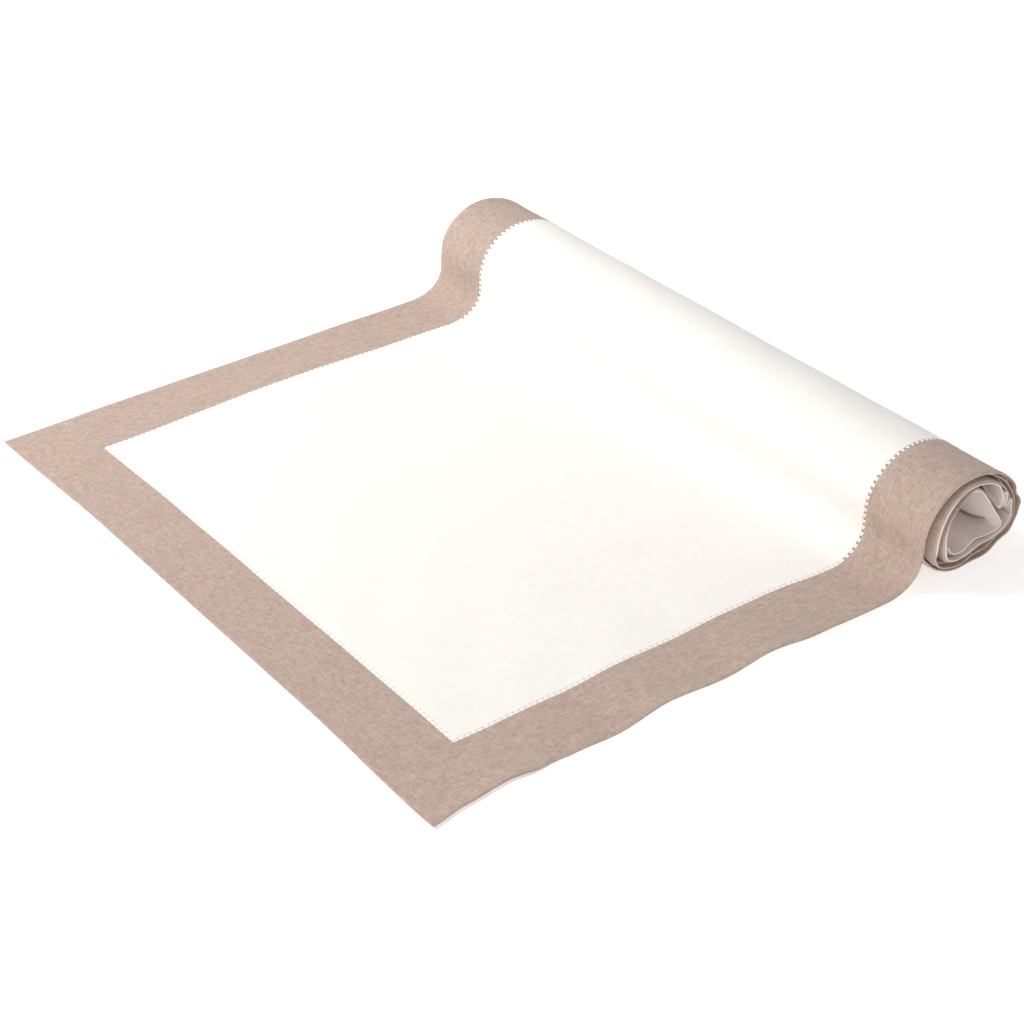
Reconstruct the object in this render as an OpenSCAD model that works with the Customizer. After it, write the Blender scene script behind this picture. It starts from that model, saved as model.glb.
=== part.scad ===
// Lined table runner with a mitred contrast border and hemstitched seams.
// The front part lies flat, and the back part is rolled up loosely, face side out.
// X runs across the runner, along the roll. Y runs from the free front edge to the roll.
// Z is up, and the origin is at the middle of the footprint, on the table.

/* [Runner] */
// Width of the runner, across the roll
runner_w = 406; // [300:1:500]
// Length of the runner when it is unrolled
runner_l = 914; // [860:1:1400]
// Width of the contrast border on all four sides
border_w = 40; // [25:1:60]
// Thickness of the lining
lining_t = 0.6; // [0.4:0.1:0.6]
// Thickness of the face cloth, the same for panel and border
face_t = 0.9; // [0.6:0.1:0.9]

/* [Roll] */
// Height of the roll
roll_h = 52; // [50:0.5:56]
// Depth of the roll, from its near side to its back
roll_d = 72; // [70:0.5:78]
// Full turns in the roll, before the loose end inside
turns = 3; // [1:1:3]
// Distance between two turns on the near side
pitch_near = 3.5; // [3.2:0.1:3.6]
// Distance between two turns at the top
pitch_top = 3.1; // [2.8:0.1:3.2]
// Distance between two turns at the back
pitch_back = 2.9; // [2.6:0.1:3.0]
// Distance between two turns where the roll presses on the table
pitch_rest = 1.75; // [1.7:0.05:1.8]
// Depth of the sweep by which the flat part rises to the roll
sweep_d = 22; // [18:1:30]
// Height of that sweep
sweep_h = 17; // [14:1:20]

/* [Loose end] */
// Slope of the loose end below level, where it leaves the innermost turn
flap_slope = 54; // [48:1:58]
// Length of its straight stretch
flap_l = 27.5; // [24:0.5:28]
// Slope of the last stretch, which lies on the turn below
tail_slope = 12; // [10:1:14]
// Length of that last stretch
tail_l = 13; // [8:1:14]

/* [Stitching] */
// Width of the open band of hemstitch between border and panel
band_w = 1.6; // [1.2:0.1:2.4]
// Distance from one bar of threads to the next
bar_pitch = 3.5; // [3:0.5:7]
// Length of a bar, along the seam
bar_l = 2; // [1.2:0.1:2.4]
// Width of the seam joint at a mitre
mitre_gap = 0.5; // [0.4:0.1:0.8]
// Distance between stitches in a mitre
mitre_pitch = 4; // [3:1:8]
// Distance between the slip stitches that close the outer edge
edge_pitch = 6; // [5:1:12]
// How far the slip stitches stand out from the edge
edge_rise = 0.3; // [0.2:0.1:0.4]

/* [Hidden] */

panel_colour = [0.98, 0.97, 0.95];
border_colour = [0.76, 0.68, 0.63];
lining_colour = [0.93, 0.91, 0.88];
thread_colour = [1.0, 0.99, 0.97];
border_thread_colour = [0.70, 0.62, 0.57];

cloth_t = lining_t + face_t;
mid = cloth_t / 2;
arc_steps = 10;             // points on each quarter of a turn
crown = 30.7;               // the top of a turn, behind the roll's near side
heel = 28.7;                // the lowest point of a turn, behind the roll's near side
near_level = 25;            // height of a turn's nearest point
back_level = 18.5;          // height of a turn's backmost point
shoulder_r = 7;             // bend where the loose end leaves the innermost turn
fold_r = 3.5;               // bend where it turns back under itself
stitch_l = 2;               // length of a seam or slip stitch
sliver = 0.05;              // clearance between thread and cloth

// Cross-section of the cloth's middle layer, as [y, z], from the end of the flat part

// A quarter of an ellipse from p to q; it leaves p level, or upright
function quarter(p, q, level) = [
    for (i = [1:arc_steps])
        let (a = 90 * i / arc_steps)
        level
            ? [p[0] + (q[0] - p[0]) * sin(a), q[1] + (p[1] - q[1]) * cos(a)]
            : [q[0] + (p[0] - q[0]) * cos(a), p[1] + (q[1] - p[1]) * sin(a)]
];
// A round bend to the right that starts at p with heading h, and turns by the angle turn
function bend(p, h, turn, r, steps) = [
    for (i = [1:steps])
        let (g = h - turn * i / steps)
        p + r * [sin(h) - sin(g), cos(g) - cos(h)]
];
function ahead(p, h, distance) = p + distance * [cos(h), sin(h)];
function last(points) = points[len(points) - 1];

near_y = sweep_d + mid;
function near_point(k) = [near_y + k * pitch_near, near_level];
function top_point(k) = [near_y + crown, roll_h - mid - k * pitch_top];
function back_point(k) = [near_y + roll_d - cloth_t - k * pitch_back, back_level];
function rest_point(k) = [near_y + heel, mid + k * pitch_rest];
function turn_points(k) = concat(
    quarter(near_point(k), top_point(k), false),
    quarter(top_point(k), back_point(k), true),
    quarter(back_point(k), rest_point(k), false),
    quarter(rest_point(k), near_point(k + 1), true)
);

sweep = concat([[0, mid]], quarter([0, mid], [near_y, mid + sweep_h], true), [near_point(0)]);
roll = [for (k = [0:turns - 1], p = turn_points(k)) p];
rise = quarter(near_point(turns), top_point(turns), false);
shoulder = bend(last(rise), 0, flap_slope, shoulder_r, 6);
flap = ahead(last(shoulder), -flap_slope, flap_l);
fold = bend(flap, -flap_slope, 180 - flap_slope - tail_slope, fold_r, 8);
tail = ahead(last(fold), 180 + tail_slope, tail_l);
rolled = concat(sweep, roll, rise, shoulder, [flap], fold, [tail]);

// Lengths along the cloth. The flat part takes what the roll leaves.
function running(points, i = 1, so_far = 0) =
    i == len(points)
        ? [so_far]
        : concat([so_far], running(points, i + 1, so_far + norm(points[i] - points[i - 1])));
rolled_s = running(rolled);
flat_l = runner_l - last(rolled_s);
depth = flat_l + near_y - mid + roll_d;
shift = [flat_l - depth / 2, 0];
path = concat([[-depth / 2, mid]], [for (p = rolled) p + shift]);
path_s = concat([0], [for (s = rolled_s) flat_l + s]);

// Unit normals, which point out of the face of the cloth
function side(a, b) = [a[1] - b[1], b[0] - a[0]] / norm(b - a);
function unit(v) = v / norm(v);
steps = len(path) - 1;
normals = [
    for (i = [0:steps])
        unit(side(path[max(i - 1, 0)], path[max(i, 1)])
            + side(path[min(i, steps - 1)], path[min(i + 1, steps)]))
];
ys = [for (i = [0:steps]) [path_s[i], path[i][0]]];
zs = [for (i = [0:steps]) [path_s[i], path[i][1]]];
nys = [for (i = [0:steps]) [path_s[i], normals[i][0]]];
nzs = [for (i = [0:steps]) [path_s[i], normals[i][1]]];

// The point at length s along the cloth and height h above the underside of the lining
function normal_at(s) = unit([lookup(s, nys), lookup(s, nzs)]);
function on_cloth(s, h) = [lookup(s, ys), lookup(s, zs)] + (h - mid) * normal_at(s);
function heading(s) = let (n = normal_at(s)) atan2(-n[0], n[1]);
function between(from, to) =
    concat([from], [for (s = path_s) if (s > from + sliver && s < to - sliver) s]);
function stations(knots) =
    concat([for (k = [1:len(knots) - 1]) each between(knots[k - 1], knots[k])], [last(knots)]);

cloth_x = runner_w / 2 - edge_rise;         // the cloth's own side edge
cloth_s0 = edge_rise;                       // its front edge
cloth_s1 = runner_l - edge_rise;            // its back edge
panel_in = border_w + band_w;               // from the outer edge to the panel
mitre_inset = mitre_gap / 2 * sqrt(2);      // a mitre joint's half width, measured across X

// A width of cloth between two lengths, straight across the runner
module straight_cloth(x0, x1, from, to, low, high) {
    at = stations([from, to]);
    outline = concat([for (s = at) on_cloth(s, low)],
        [for (i = [len(at) - 1:-1:0]) on_cloth(at[i], high)]);
    translate([x0, 0, 0]) rotate([90, 0, 90]) linear_extrude(x1 - x0) polygon(outline);
}

// A width of face cloth whose two sides are [length, x] tables with the same lengths,
// so that a side can run at an angle
module shaped_cloth(left, right) {
    at = stations([for (p = left) p[0]]);
    corners = [
        for (s = at, side = [[left, lining_t], [right, lining_t], [right, cloth_t], [left, cloth_t]])
            let (p = on_cloth(s, side[1]))
            [lookup(s, side[0]), p[0], p[1]]
    ];
    end = 4 * (len(at) - 1);
    walls = [
        for (i = [0:len(at) - 2], j = [0:3])
            let (a = 4 * i + j, b = 4 * i + (j + 1) % 4)
            each [[a, b + 4, b], [a, a + 4, b + 4]]
    ];
    polyhedron(corners, concat([[0, 1, 2], [0, 2, 3]], walls,
        [[end, end + 2, end + 1], [end, end + 3, end + 2]]));
}

// How far in from the runner's side a mitre is at length s
function mitre_x(s, inset) = runner_w / 2 - min(s, runner_l - s) - inset;

// One long border; way is -1 at the left side and 1 at the right
module side_border(way) {
    start = cloth_s0 + 2 * mitre_inset;
    inner_x = runner_w / 2 - border_w;
    inner = [
        [start, way * mitre_x(start, -mitre_inset)],
        [border_w + mitre_inset, way * inner_x],
        [runner_l - border_w - mitre_inset, way * inner_x],
        [runner_l - start, way * mitre_x(start, -mitre_inset)],
    ];
    outer = [for (p = inner) [p[0], way * cloth_x]];
    color(border_colour)
        if (way < 0) shaped_cloth(outer, inner);
        else shaped_cloth(inner, outer);
}

// The border across one end, with a mitre at each side
module end_border(from, to) {
    right = [[from, mitre_x(from, mitre_inset)], [to, mitre_x(to, mitre_inset)]];
    left = [for (p = right) [p[0], -p[1]]];
    color(border_colour) shaped_cloth(left, right);
}

// A stitch on the cloth: size is [across, along the cloth, thick], turned in the plane of the cloth
module stitch(x, s, size, h, turn = 0) {
    p = on_cloth(s, h);
    translate([x, p[0], p[1]])
        rotate([heading(s), 0, 0]) rotate([0, 0, turn]) cube(size, center = true);
}

// Bars of drawn threads that join panel and border along one side
module side_hemstitch(way) {
    seam = runner_l - 2 * panel_in;
    count = floor(seam / bar_pitch);
    first = (runner_l - (count - 1) * bar_pitch) / 2;
    x = way * (runner_w / 2 - border_w - band_w / 2);
    color(thread_colour)
        for (i = [0:count - 1])
            stitch(x, first + i * bar_pitch, [band_w - sliver, bar_l, face_t - 2 * sliver],
                lining_t + face_t / 2);
}

// The same bars across one end, at length s
module end_hemstitch(s) {
    seam = runner_w - 2 * panel_in;
    count = floor(seam / bar_pitch);
    first = -(count - 1) * bar_pitch / 2;
    color(thread_colour)
        for (i = [0:count - 1])
            stitch(first + i * bar_pitch, s, [bar_l, band_w - sliver, face_t - 2 * sliver],
                lining_t + face_t / 2);
}

// Seam stitches along one mitre; way picks the side, and back picks the rolled end
module mitre_stitches(way, back) {
    count = floor(border_w * sqrt(2) / mitre_pitch) - 1;
    color(border_thread_colour)
        for (i = [1:count])
            let (d = i * mitre_pitch / sqrt(2))
            stitch(way * (runner_w / 2 - d), back ? runner_l - d : d,
                [mitre_gap - sliver, stitch_l, face_t - 2 * sliver],
                lining_t + face_t / 2, back ? -way * 45 : way * 45);
}

// Slip stitches that close the lining to the border along one long edge
module side_edge_stitches(way) {
    count = floor((runner_l - 2 * edge_pitch) / edge_pitch);
    first = (runner_l - (count - 1) * edge_pitch) / 2;
    color(border_thread_colour)
        for (i = [0:count - 1])
            stitch(way * (runner_w - edge_rise) / 2, first + i * edge_pitch,
                [edge_rise, stitch_l, face_t], lining_t);
}

// The same stitches across one end, at length s
module end_edge_stitches(s) {
    count = floor((runner_w - 2 * edge_pitch) / edge_pitch);
    first = -(count - 1) * edge_pitch / 2;
    color(border_thread_colour)
        for (i = [0:count - 1])
            stitch(first + i * edge_pitch, s, [stitch_l, edge_rise, face_t], lining_t);
}

module centre_panel() {
    half = runner_w / 2 - panel_in;
    color(panel_colour)
        straight_cloth(-half, half, panel_in, runner_l - panel_in, lining_t, cloth_t);
}
module lining() {
    color(lining_colour) straight_cloth(-cloth_x, cloth_x, cloth_s0, cloth_s1, 0, lining_t);
}
module border_front() end_border(cloth_s0, border_w);
module border_back() end_border(runner_l - border_w, cloth_s1);
module border_left() side_border(-1);
module border_right() side_border(1);
module hemstitch_front() end_hemstitch(border_w + band_w / 2);
module hemstitch_back() end_hemstitch(runner_l - border_w - band_w / 2);
module hemstitch_left() side_hemstitch(-1);
module hemstitch_right() side_hemstitch(1);
module mitre_stitches_front_left() mitre_stitches(-1, false);
module mitre_stitches_front_right() mitre_stitches(1, false);
module mitre_stitches_back_left() mitre_stitches(-1, true);
module mitre_stitches_back_right() mitre_stitches(1, true);
module edge_stitches_front() end_edge_stitches(edge_rise / 2);
module edge_stitches_back() end_edge_stitches(runner_l - edge_rise / 2);
module edge_stitches_left() side_edge_stitches(-1);
module edge_stitches_right() side_edge_stitches(1);

centre_panel();
border_front();
border_back();
border_left();
border_right();
lining();
hemstitch_front();
hemstitch_back();
hemstitch_left();
hemstitch_right();
mitre_stitches_front_left();
mitre_stitches_front_right();
mitre_stitches_back_left();
mitre_stitches_back_right();
edge_stitches_front();
edge_stitches_back();
edge_stitches_left();
edge_stitches_right();
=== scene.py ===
import math

import bpy
import numpy as np
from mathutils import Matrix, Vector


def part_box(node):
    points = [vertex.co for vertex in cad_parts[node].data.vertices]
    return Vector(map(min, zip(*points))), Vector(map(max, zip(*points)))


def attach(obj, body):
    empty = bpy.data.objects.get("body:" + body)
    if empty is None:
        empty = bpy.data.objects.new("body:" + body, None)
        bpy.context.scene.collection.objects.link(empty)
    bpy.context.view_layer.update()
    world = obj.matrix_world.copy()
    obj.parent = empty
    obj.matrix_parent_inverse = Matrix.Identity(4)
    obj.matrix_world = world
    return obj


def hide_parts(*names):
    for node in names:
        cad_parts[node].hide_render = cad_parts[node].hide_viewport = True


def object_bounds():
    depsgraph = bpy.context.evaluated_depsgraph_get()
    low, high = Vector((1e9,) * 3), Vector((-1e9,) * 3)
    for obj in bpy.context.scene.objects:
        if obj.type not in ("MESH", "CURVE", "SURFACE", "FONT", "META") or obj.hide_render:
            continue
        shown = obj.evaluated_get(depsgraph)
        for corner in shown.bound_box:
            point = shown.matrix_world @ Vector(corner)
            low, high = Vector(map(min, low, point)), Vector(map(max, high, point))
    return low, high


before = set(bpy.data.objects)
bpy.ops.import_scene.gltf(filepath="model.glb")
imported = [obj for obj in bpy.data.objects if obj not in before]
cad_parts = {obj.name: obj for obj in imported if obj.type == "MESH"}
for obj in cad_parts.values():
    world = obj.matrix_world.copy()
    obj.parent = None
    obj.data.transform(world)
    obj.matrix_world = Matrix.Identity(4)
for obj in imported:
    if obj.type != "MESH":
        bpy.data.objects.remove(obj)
cadLow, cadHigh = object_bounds()
print("frame loaded")

mm = 0.001

# The cloth, cut and sewn. Sizes that the frame knows are read from it.
frontLow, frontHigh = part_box("border_front")
_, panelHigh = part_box("centre_panel")
cloth = {
    "halfWidth": cadHigh.x,
    "length": 914 * mm,  # unrolled, from edge to edge
    "liningThick": frontLow.z,
    "thick": frontHigh.z,  # lining and face together
    "border": frontHigh.y - cadLow.y,
    "panelIn": cadHigh.x - panelHigh.x,  # from the outer edge to the white panel
    "mitreGap": 0.03 * mm,  # half the width of the seam line at a corner
    "hemPuff": 0.35 * mm,  # the turned allowance makes the edge a little thicker
    "hemWide": 5 * mm,
    "layerGap": 0.02 * mm,  # between the lining and the face
}
cloth["face"] = cloth["thick"] - cloth["liningThick"]
cloth["band"] = cloth["panelIn"] - cloth["border"]

# The loosely rolled end, as a chain of quarter turns.
roll = {
    "turns": 3,
    "height": cadHigh.z,
    "depth": 72 * mm,
    "pitchNear": 3.5 * mm,  # from one turn to the next, on the near side
    "pitchTop": 3.1 * mm,
    "pitchBack": 2.9 * mm,
    "pitchRest": 1.75 * mm,
    "sweepDepth": 22 * mm,  # where the flat part bends up to the roll
    "sweepHeight": 17 * mm,
    "crown": 30.7 * mm,
    "heel": 28.7 * mm,
    "nearLevel": 25 * mm,
    "backLevel": 18.5 * mm,
    "shoulder": 7 * mm,  # bend before the loose end
    "flapSlope": math.radians(54),
    "flap": 27.5 * mm,
    "fold": 3.5 * mm,
    "tailSlope": math.radians(12),
    "tail": 13 * mm,
}

# How the cloth has settled: lifts, creases and creep.
rest = {
    # mm from the front and mm up: the right edge lifts off the table and comes down again
    "edgeLifts": [(0, 1.4), (18, 4.6), (40, 6.1), (62, 3.4), (80, 2.3), (105, 0.5), (135, 4.6),
                  (172, 1.4), (199, 4.0), (232, 0.2), (260, 0)],
    "edgeReach": 30 * mm,  # how far in from the right edge a lift fades
    "frontHollow": 2.8 * mm,  # the front edge is drawn in between its corners
    "leftSwell": 2.6 * mm,  # a soft rise along the left seam
    "sweepShift": 3.6 * mm,  # the right side drifts outward before the roll
    "leftRise": 0.055,  # the roll is this much higher at its left end
    "rightRise": 0.024,
    "swell": 0.45 * mm,  # soft unevenness all over
    "swellSeed": 11,
    "swellFrom": 60 * mm,  # it grows from the front edge up to here
    "flatSwell": 0.6,  # its share on the flat part, and on the roll
    "rollSwell": 0.3,
    "looseHeights": (2 * mm, 18 * mm),  # the roll is pressed flat below, and loose above
    "flatFade": (30 * mm, 20 * mm),  # lifts fade out from before the flat part's end to after it
    "leftSwellAt": (-150 * mm, 165 * mm),  # across and along
    "leftSwellReach": (60 * mm, 95 * mm),
    "hollowSpan": (95 * mm, 203 * mm),  # from the middle out to the corners
    "hollowDeep": 90 * mm,
    "shiftAt": 274 * mm,
    "shiftReach": 46 * mm,
    "shiftSpan": (60 * mm, 160 * mm),
    "shiftEased": (163 * mm, 203 * mm),  # half as much at the very edge
    "endReach": 110 * mm,  # how far in from the right end the turns lie differently
    "endSettled": 12 * mm,
}

# How the turns lie at the right end, in mm from the front edge and up from the table.
rightEnd = {
    "firstHeelLift": [(306, 0), (318, 1.0), (329, 0.5), (338, 2.3), (347, 0.7), (355, 1.9),
                      (363, 0)],
    "lastHeelLift": [(311, 0), (320, 2.2), (328, 3.2), (340, 4.8), (350, 2.6), (360, 1)],
    "looseEnd": [(331, 44.3), (336, 43.4), (340, 40.2), (344, 35), (348, 29.3), (351.6, 24),
                 (354.6, 20.5), (356.8, 17.6), (357.4, 15), (355.6, 13.1), (351, 12.4),
                 (345.5, 12.4), (341, 13.2), (338, 13.5), (335.5, 12.8), (333, 11.2), (330, 10),
                 (326.4, 9.5), (321.6, 10.7), (318, 13.8), (315.8, 18)],
    "backFold": 1.3 * mm,  # a small fold on the outermost turn
    "heelWaves": [(335, 0), (349, 1.9), (357, 0.2), (364, 1.5), (369, 0)],  # along its underside
    # the loose lining's pleats, from its own turn and back to it
    "pleats": [(347.8, 41.8), (350.4, 40.1), (352.5, 36.9), (353.7, 33.2), (353.6, 30.1),
               (352.6, 28.8), (351.3, 28.2), (352.1, 26.7), (354.1, 26.7), (355.7, 28.9),
               (355.7, 32.2), (355.5, 34.6), (356.3, 34.8), (357.2, 33), (357.7, 30.2),
               (357, 28.2), (356.6, 26.6), (357.8, 25.4), (359.6, 26), (360.5, 28),
               (361, 29), (361.6, 28), (362.1, 26), (362.3, 23.7)],
    # at the end of each stretch: mm pushed out from the roll, and mm standing out sideways
    "places": [("flat", 0, 0), ("sweep", 0, 1.3), ("near0", 0, 1.8), ("top0", 0, 1.2),
               ("back0", 0, 1.0), ("heel0", 0, 1.5), ("near1", 1.8, -2.6), ("top1", 1.5, -2.4),
               ("back1", 0, 0.6), ("heel1", 0, 2.2), ("near2", 3.3, 5.6), ("top2", 2.9, 2.0),
               ("back2", -1, 1.5), ("heel2", 0, 2.4), ("near3", 0.8, 6.0), ("top3", 0, 1.2),
               ("flap", 0, 0.6), ("tail", 0, 1.5)],
}


def quarterTurn(start, end, level, count=24):
    angle = np.linspace(0, math.pi / 2, count + 1)[1:]
    rising, falling = np.sin(angle), 1 - np.cos(angle)
    shares = np.stack([rising, falling] if level else [falling, rising], axis=1)
    return np.array(start) + (np.array(end) - np.array(start)) * shares


def bend(start, heading, turn, radius, count):
    angle = heading - turn * np.arange(1, count + 1) / count
    across = math.sin(heading) - np.sin(angle)
    up = np.cos(angle) - math.cos(heading)
    return np.array(start) + radius * np.stack([across, up], axis=1)


def ahead(start, heading, distance):
    return np.array([start + distance * np.array([math.cos(heading), math.sin(heading)])])


def runAlong(points):
    # the distance run from the start of a line to each of its points
    return np.concatenate([[0], np.cumsum(np.linalg.norm(np.diff(points, axis=0), axis=1))])


def smoothed(values):
    # a short running mean, which rounds the joins between stretches
    window = np.hanning(9)
    return np.convolve(np.pad(values, 4, mode="edge"), window / window.sum(), mode="valid")


def rolledPath():
    # the middle layer of the cloth from the flat part's end, and where each stretch ends
    mid = cloth["thick"] / 2
    nearY = roll["sweepDepth"] + mid
    near = lambda k: (nearY + k * roll["pitchNear"], roll["nearLevel"])
    top = lambda k: (nearY + roll["crown"], roll["height"] - mid - k * roll["pitchTop"])
    back = lambda k: (nearY + roll["depth"] - 2 * mid - k * roll["pitchBack"], roll["backLevel"])
    heel = lambda k: (nearY + roll["heel"], mid + k * roll["pitchRest"])
    stretches = [("flat", np.array([[0, mid]]))]
    stretches.append(("sweep", quarterTurn((0, mid), (nearY, mid + roll["sweepHeight"]), True)))
    stretches.append(("near0", np.array([near(0)])))
    for k in range(roll["turns"]):
        stretches.append((f"top{k}", quarterTurn(near(k), top(k), False)))
        stretches.append((f"back{k}", quarterTurn(top(k), back(k), True)))
        stretches.append((f"heel{k}", quarterTurn(back(k), heel(k), False)))
        stretches.append((f"near{k + 1}", quarterTurn(heel(k), near(k + 1), True)))
    last = roll["turns"]
    stretches.append((f"top{last}", quarterTurn(near(last), top(last), False)))
    stretches.append(("shoulder", bend(top(last), 0, roll["flapSlope"], roll["shoulder"], 12)))
    stretches.append(("flap", ahead(stretches[-1][1][-1], -roll["flapSlope"], roll["flap"])))
    turn = math.pi - roll["flapSlope"] - roll["tailSlope"]
    fold = bend(stretches[-1][1][-1], -roll["flapSlope"], turn, roll["fold"], 14)
    stretches.append(("fold", fold))
    stretches.append(("tail", ahead(fold[-1], math.pi + roll["tailSlope"], roll["tail"])))
    points = np.concatenate([p for _, p in stretches])
    running = runAlong(points)
    ends = np.cumsum([len(p) for _, p in stretches]) - 1
    return points, running, {name: running[e] for (name, _), e in zip(stretches, ends)}


rolled, rolledS, marks = rolledPath()
flatLength = cloth["length"] - rolledS[-1]
marks = {name: flatLength + s for name, s in marks.items()}
pathS = np.concatenate([[0], flatLength + rolledS])
pathY = np.concatenate([[0], flatLength + rolled[:, 0]]) + cadLow.y
pathZ = np.concatenate([[rolled[0, 1]], rolled[:, 1]])
evenS = np.linspace(0, cloth["length"], 3600)
evenY, evenZ = np.interp(evenS, pathS, pathY), np.interp(evenS, pathS, pathZ)
slopeY, slopeZ = np.gradient(evenY, evenS), np.gradient(evenZ, evenS)
normalY, normalZ = -smoothed(slopeZ), smoothed(slopeY)
normalSize = np.hypot(normalY, normalZ)
normalY, normalZ = normalY / normalSize, normalZ / normalSize
bendiness = np.hypot(np.gradient(normalY, evenS), np.gradient(normalZ, evenS))


def bump(t, centre, halfWidth):
    return np.cos(np.clip((t - centre) / halfWidth, -1, 1) * math.pi / 2) ** 2


def ease(t, low, high):
    u = np.clip((t - low) / (high - low), 0, 1)
    return u * u * (3 - 2 * u)


def easedThrough(t, places):
    # a smooth line through given places, level at each; places are in mm
    at, heights = (np.array(part) * mm for part in zip(*places))
    t = np.clip(t, at[0], at[-1])
    index = np.clip(np.searchsorted(at, t, side="right") - 1, 0, len(at) - 2)
    low, high = heights[index], heights[index + 1]
    return low + (high - low) * ease(t, at[index], at[index + 1])


def cornersCut(points, rounds=4):
    # rounds the corners of a line, a quarter of each side at a time
    for _ in range(rounds):
        early = points[:-1] * 0.75 + points[1:] * 0.25
        late = points[:-1] * 0.25 + points[1:] * 0.75
        cut = np.stack([early, late], axis=1).reshape(-1, 2)
        points = np.concatenate([points[:1], cut, points[-1:]])
    return points


def rightEndPath():
    # the same cloth at the right end: the last heel is raised and the loose end leans outward
    y, z = evenY - cadLow.y, evenZ.copy()
    inHeel = lambda k: (evenS > marks[f"back{k}"]) & (evenS < marks[f"near{k + 1}"])
    outward = easedThrough(evenS, [(marks[name] / mm, out) for name, out, _ in rightEnd["places"]])
    y, z = y + outward * normalY, z + outward * normalZ
    z = z + easedThrough(y, rightEnd["firstHeelLift"]) * inHeel(1)
    z = z + easedThrough(y, rightEnd["lastHeelLift"]) * inHeel(2)
    kept = evenS < marks["near3"] + 0.8 * (marks["top3"] - marks["near3"])
    joint = np.stack([y[kept], z[kept]], axis=1)
    loose = cornersCut(np.concatenate([joint[-1:], np.array(rightEnd["looseEnd"]) * mm]))
    whole = np.concatenate([joint, loose[1:]])
    run = runAlong(whole)
    easing = marks["near3"]
    eased = evenS > easing
    started = np.interp(easing, evenS[kept], run[:kept.sum()])
    share = (evenS - easing) / (evenS[-1] - easing)
    sameRun = np.where(eased, started + share * (run[-1] - started),
                       np.interp(evenS, evenS[kept], run[:kept.sum()]))
    y, z = np.interp(sameRun, run, whole[:, 0]), np.interp(sameRun, run, whole[:, 1])
    y, z = smoothed(y), smoothed(z)
    slopeY, slopeZ = np.gradient(y, evenS), np.gradient(z, evenS)
    size = np.hypot(slopeY, slopeZ)
    ny, nz = -slopeZ / size, slopeY / size
    outermost = (evenS > marks["top0"]) & (evenS < marks["heel0"])
    fold = (bump(z, 22.5 * mm, 5 * mm) - bump(z, 30 * mm, 4.5 * mm)) * rightEnd["backFold"]
    fold = fold + easedThrough(y, rightEnd["heelWaves"]) * (evenS > marks["back0"])
    y, z = y + fold * ny * outermost, z + fold * nz * outermost
    return y + cadLow.y, z, ny, nz


endPathY, endPathZ, endNormalY, endNormalZ = rightEndPath()


def pleatedPath():
    # the lining's own line at the right end, where it has come loose in pleats
    fine = np.linspace(marks["top2"], marks["back2"], 4000)
    y, z = np.interp(fine, evenS, endPathY) - cadLow.y, np.interp(fine, evenS, endPathZ)
    h = -cloth["thick"] / 2
    ring = np.stack([y + h * np.interp(fine, evenS, endNormalY),
                     z + h * np.interp(fine, evenS, endNormalZ)], axis=1)
    pleats = np.array(rightEnd["pleats"]) * mm
    first = np.argmin(np.linalg.norm(ring - pleats[0], axis=1))
    last = np.argmin(np.linalg.norm(ring - pleats[-1], axis=1))
    line = cornersCut(np.concatenate([ring[first:first + 1], pleats[1:-1], ring[last:last + 1]]), 3)
    run = runAlong(line)
    share = run / run[-1]
    alongY, alongZ = np.gradient(line[:, 0], run), np.gradient(line[:, 1], run)
    size = np.hypot(alongY, alongZ)
    return fine[first], fine[last], share, line, np.stack([-alongZ / size, alongY / size], axis=1)


pleatStart, pleatEnd, pleatShare, pleatLine, pleatNormals = pleatedPath()


swellRandom = np.random.default_rng(rest["swellSeed"])
swellWaves = [
    (math.tau / swellRandom.uniform(45, 150) / mm, swellRandom.uniform(0, math.tau),
     swellRandom.uniform(0, math.tau)) for _ in range(7)
]


def swell(x, s):
    total = sum(np.sin(k * (x * math.cos(a) + s * math.sin(a)) + start)
                for k, a, start in swellWaves)
    return total / len(swellWaves) ** 0.5


def creep(s):
    return easedThrough(s, [(marks[name] / mm, out) for name, _, out in rightEnd["places"]])


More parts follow.
